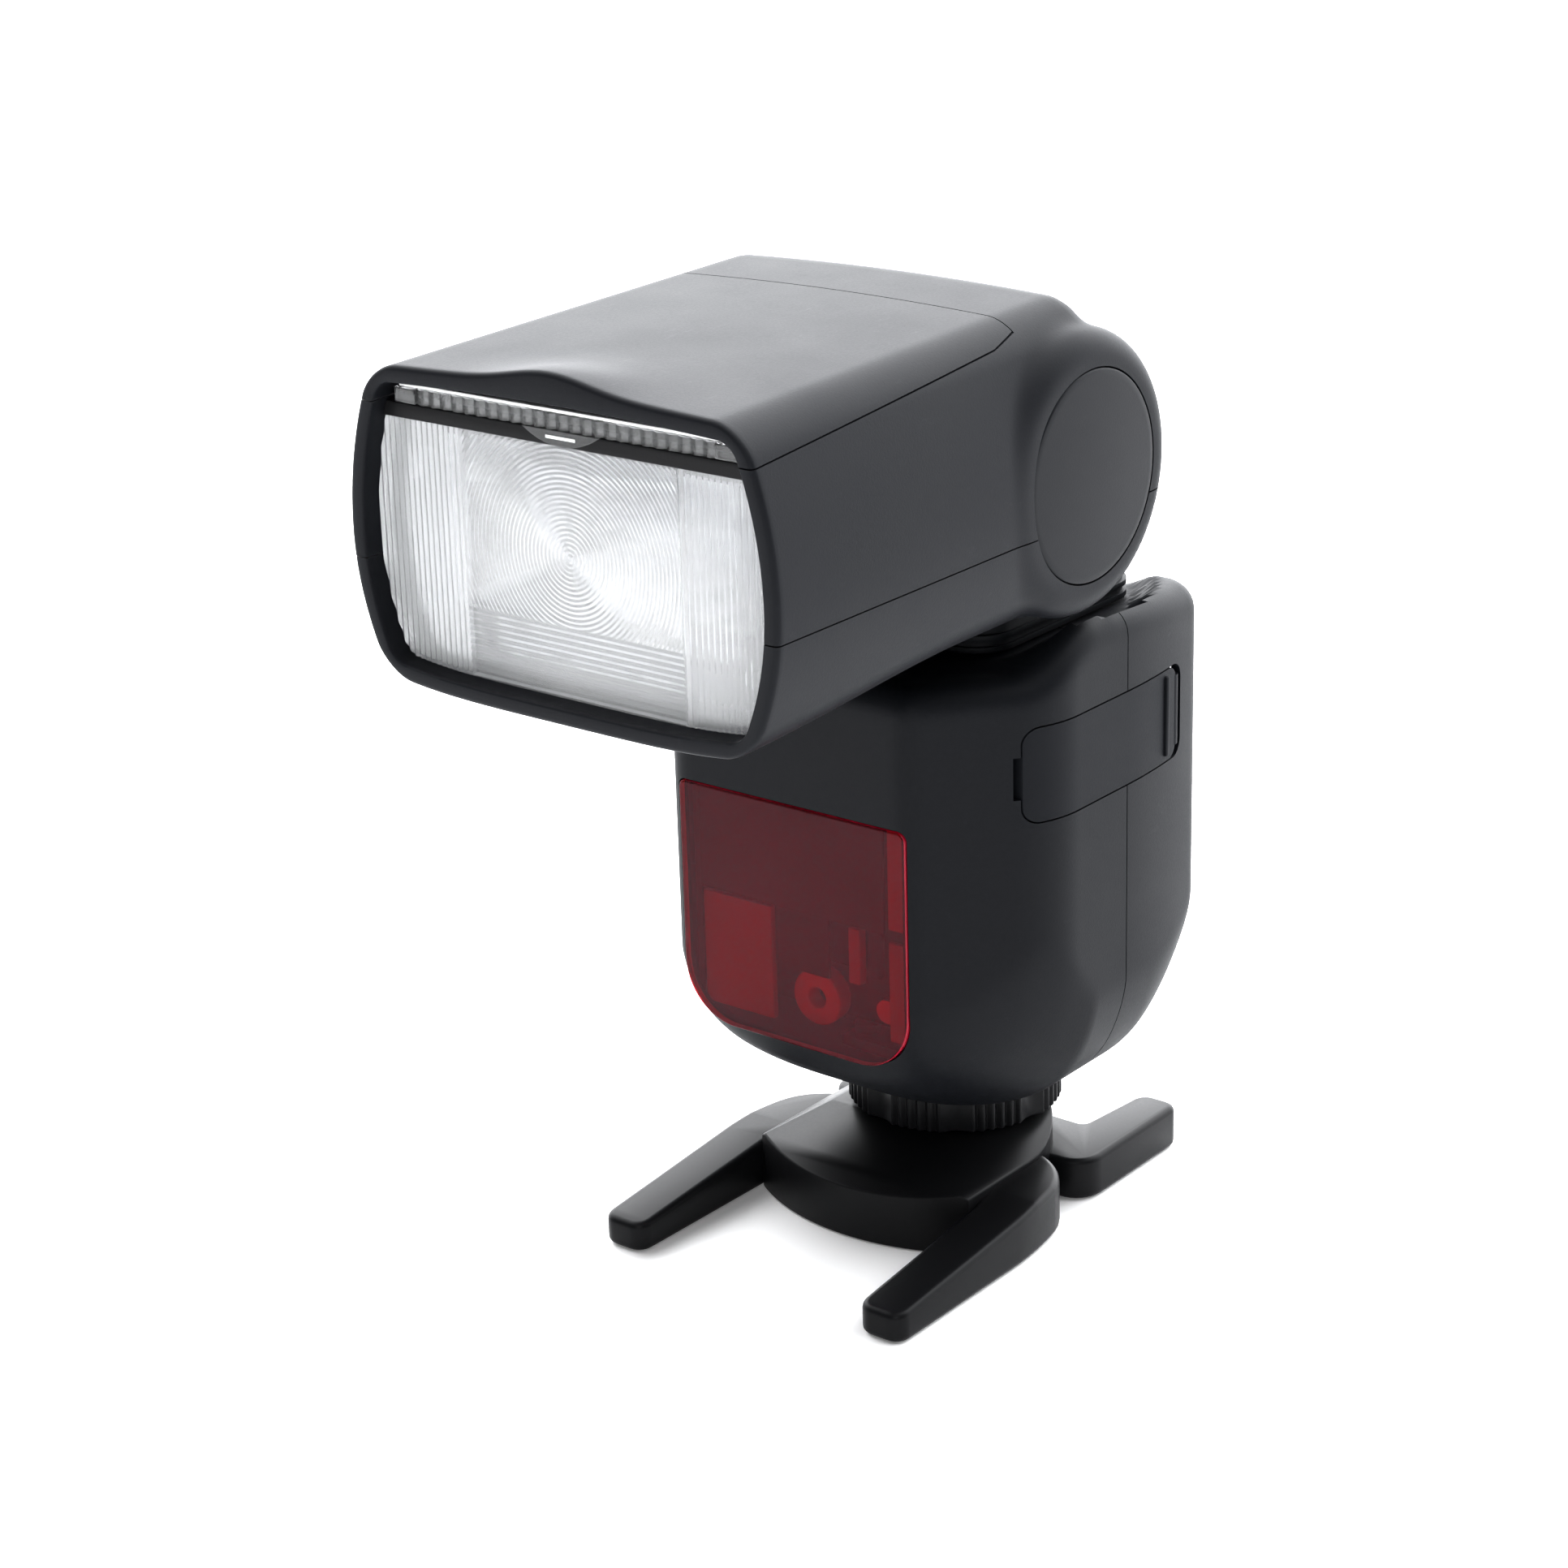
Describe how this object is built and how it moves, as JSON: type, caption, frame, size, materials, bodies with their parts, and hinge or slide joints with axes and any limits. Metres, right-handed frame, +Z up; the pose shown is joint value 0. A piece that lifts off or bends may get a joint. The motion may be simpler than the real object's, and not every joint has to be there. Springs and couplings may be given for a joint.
{
  "type": "speedlight flash",
  "caption": "Hot-shoe speedlight flash with a tilting, swivelling head, red front window and back panel, standing on a small four-legged shoe stand.",
  "frame": {"origin": "mouth of the tripod thread under the stand, on the surface that the stand rests on", "axes": "+Z up; the flash head points along -Y; +X is the flash's own left side, which carries the port cover"},
  "size_m": [0.0764, 0.116, 0.1503],
  "materials": {
    "stand_plastic": "satin black moulded plastic",
    "brass": "turned brass",
    "plated_steel": "nickel-plated steel",
    "contact_plastic": "black insulating plastic",
    "screw_steel": "zinc-plated steel",
    "gold_contact": "gold-plated contact",
    "ring_plastic": "ribbed black plastic",
    "body_plastic": "fine sandblasted black plastic",
    "head_plastic": "fine sandblasted black plastic",
    "cap_plastic": "smooth black plastic",
    "port_rubber": "matte black elastomer",
    "jack_metal": "plated socket",
    "latch_plastic": "black plastic",
    "inner_plastic": "dark inner plastic",
    "red_clear_plastic": "transparent dark red plastic",
    "lamp_lens": "red lens ring",
    "sensor_dark": "dark sensor window",
    "key_rubber": "soft grey-black key",
    "test_key": "translucent lamp key",
    "dial_plastic": "knurled black plastic",
    "screen_cover": "clear screen cover",
    "lcd_panel": "grey-green display",
    "circuit_board": "green circuit board",
    "capacitor_sleeve": "dark sleeve",
    "clear_lens": "clear ribbed lens",
    "bezel_plastic": "black bezel",
    "clear_panel": "clear prismatic panel",
    "white_card": "white reflector card",
    "reflector_metal": "polished aluminium reflector",
    "tube_glass": "clear flash tube",
    "motor_can": "small motor can"
  },
  "bodies": {
    "stand": {"stand_base": "stand_plastic", "tripod_insert": "brass"},
    "control_unit": {"foot_plate": "plated_steel", "contact_block": "contact_plastic", "foot_screws": "screw_steel", "body_front_cover": "body_plastic", "body_rear_cover": "body_plastic", "red_window": "red_clear_plastic", "lamp_chassis": "inner_plastic", "window_screws": "screw_steel", "focus_lamp_lens": "lamp_lens", "sensor_bracket": "inner_plastic", "optical_sensor": "sensor_dark", "lcd_window": "screen_cover", "lcd_module": "lcd_panel", "main_board": "circuit_board", "control_board": "circuit_board", "main_capacitor": "capacitor_sleeve", "battery_bay": "inner_plastic", "battery_terminals": "gold_contact", "sync_jack": "jack_metal", "usb_port": "jack_metal", "keypad": "key_rubber", "body_screws": "screw_steel", "swivel_retainer": "plated_steel", "port_hinge_pin": "screw_steel"},
    "contact_pins": {"contact_pins": "gold_contact"},
    "clamp_washer": {"clamp_washer": "plated_steel"},
    "locking_ring": {"locking_ring": "ring_plastic"},
    "battery": {"battery_pack": "body_plastic"},
    "battery_latch": {"battery_latch": "latch_plastic"},
    "port_cover": {"port_cover": "port_rubber"},
    "function_button_1": {"function_button_1": "key_rubber"},
    "function_button_2": {"function_button_2": "key_rubber"},
    "function_button_3": {"function_button_3": "key_rubber"},
    "function_button_4": {"function_button_4": "key_rubber"},
    "mode_button": {"mode_button": "key_rubber"},
    "wireless_button": {"wireless_button": "key_rubber"},
    "test_button": {"test_button": "test_key"},
    "select_dial": {"select_dial": "dial_plastic"},
    "set_button": {"set_button": "key_rubber"},
    "power_switch": {"power_switch": "latch_plastic"},
    "turret": {"swivel_turret": "body_plastic", "tilt_axle_left": "plated_steel", "tilt_axle_right": "plated_steel"},
    "head": {"head_upper_housing": "head_plastic", "head_lower_housing": "head_plastic", "head_top_cover": "head_plastic", "tilt_cap_left": "cap_plastic", "tilt_cap_right": "cap_plastic", "fresnel_lens": "clear_lens", "lens_bezel": "bezel_plastic", "zoom_rails": "screw_steel", "zoom_motor": "motor_can"},
    "wide_panel": {"wide_panel": "clear_panel"},
    "bounce_card": {"bounce_card": "white_card"},
    "zoom_carriage": {"zoom_carriage": "inner_plastic", "flash_reflector": "reflector_metal", "flash_tube": "tube_glass"},
    "lead_screw": {"lead_screw": "screw_steel"}
  },
  "joints": [
    {"name": "shoe_slide", "type": "slide", "parent": "stand", "child": "control_unit", "axis": [0, 1, 0], "range_m": [0, 0.022]},
    {"name": "contact_pin_travel", "type": "slide", "parent": "control_unit", "child": "contact_pins", "axis": [0, 0, 1], "range_m": [0, 0.00045], "stiffness_N_per_m": 300},
    {"name": "clamp_travel", "type": "slide", "parent": "control_unit", "child": "clamp_washer", "axis": [0, 0, -1], "range_m": [0, 0.0004]},
    {"name": "ring_turn", "type": "hinge", "parent": "clamp_washer", "child": "locking_ring", "pos_m": [0, 0, 0.0164], "axis": [0, 0, 1], "range_deg": [0, 180]},
    {"name": "battery_slide", "type": "slide", "parent": "control_unit", "child": "battery", "axis": [-1, 0, 0], "range_m": [0, 0.05]},
    {"name": "battery_latch_press", "type": "slide", "parent": "battery", "child": "battery_latch", "axis": [1, 0, 0], "range_m": [0, 0.001], "stiffness_N_per_m": 300},
    {"name": "port_cover_open", "type": "hinge", "parent": "control_unit", "child": "port_cover", "pos_m": [0.0335, 0.0099, 0.08195], "axis": [0, 0, 1], "range_deg": [0, 100]},
    {"name": "function_button_1_press", "type": "slide", "parent": "control_unit", "child": "function_button_1", "axis": [0, -1, 0], "range_m": [0, 0.0006], "stiffness_N_per_m": 300},
    {"name": "function_button_2_press", "type": "slide", "parent": "control_unit", "child": "function_button_2", "axis": [0, -1, 0], "range_m": [0, 0.0006], "stiffness_N_per_m": 300},
    {"name": "function_button_3_press", "type": "slide", "parent": "control_unit", "child": "function_button_3", "axis": [0, -1, 0], "range_m": [0, 0.0006], "stiffness_N_per_m": 300},
    {"name": "function_button_4_press", "type": "slide", "parent": "control_unit", "child": "function_button_4", "axis": [0, -1, 0], "range_m": [0, 0.0006], "stiffness_N_per_m": 300},
    {"name": "mode_button_press", "type": "slide", "parent": "control_unit", "child": "mode_button", "axis": [0, -1, 0], "range_m": [0, 0.0006], "stiffness_N_per_m": 300},
    {"name": "wireless_button_press", "type": "slide", "parent": "control_unit", "child": "wireless_button", "axis": [0, -1, 0], "range_m": [0, 0.0006], "stiffness_N_per_m": 300},
    {"name": "test_button_press", "type": "slide", "parent": "control_unit", "child": "test_button", "axis": [0, -1, 0], "range_m": [0, 0.0006], "stiffness_N_per_m": 300},
    {"name": "set_button_press", "type": "slide", "parent": "control_unit", "child": "set_button", "axis": [0, -1, 0], "range_m": [0, 0.0006], "stiffness_N_per_m": 300},
    {"name": "dial_turn", "type": "hinge", "parent": "control_unit", "child": "select_dial", "pos_m": [0, 0.0225, 0.0515], "axis": [0, 1, 0], "continuous": true},
    {"name": "power_switch_slide", "type": "slide", "parent": "control_unit", "child": "power_switch", "axis": [1, 0, 0], "range_m": [0, 0.0024]},
    {"name": "head_swivel", "type": "hinge", "parent": "control_unit", "child": "turret", "pos_m": [0, -0.004, 0.0985], "axis": [0, 0, 1], "range_deg": [-150, 180]},
    {"name": "head_tilt", "type": "hinge", "parent": "turret", "child": "head", "pos_m": [0, -0.0165, 0.1249], "axis": [-1, 0, 0], "range_deg": [-7, 90]},
    {"name": "wide_panel_slide", "type": "slide", "parent": "head", "child": "wide_panel", "axis": [0, -1, 0], "range_m": [0, 0.036]},
    {"name": "bounce_card_slide", "type": "slide", "parent": "head", "child": "bounce_card", "axis": [0, -1, 0], "range_m": [0, 0.036]},
    {"name": "zoom_slide", "type": "slide", "parent": "head", "child": "zoom_carriage", "axis": [0, -1, 0], "range_m": [-0.012, 0.008]},
    {"name": "lead_screw_turn", "type": "hinge", "parent": "head", "child": "lead_screw", "pos_m": [-0.0294, -0.06, 0.131], "axis": [0, 1, 0], "range_deg": [-365, 245]}
  ],
  "couplings": [
    {"joint": "clamp_travel", "follows": "ring_turn", "m_per_rad": 0.000127},
    {"joint": "lead_screw_turn", "follows": "zoom_slide", "rad_per_m": 523.6}
  ]
}
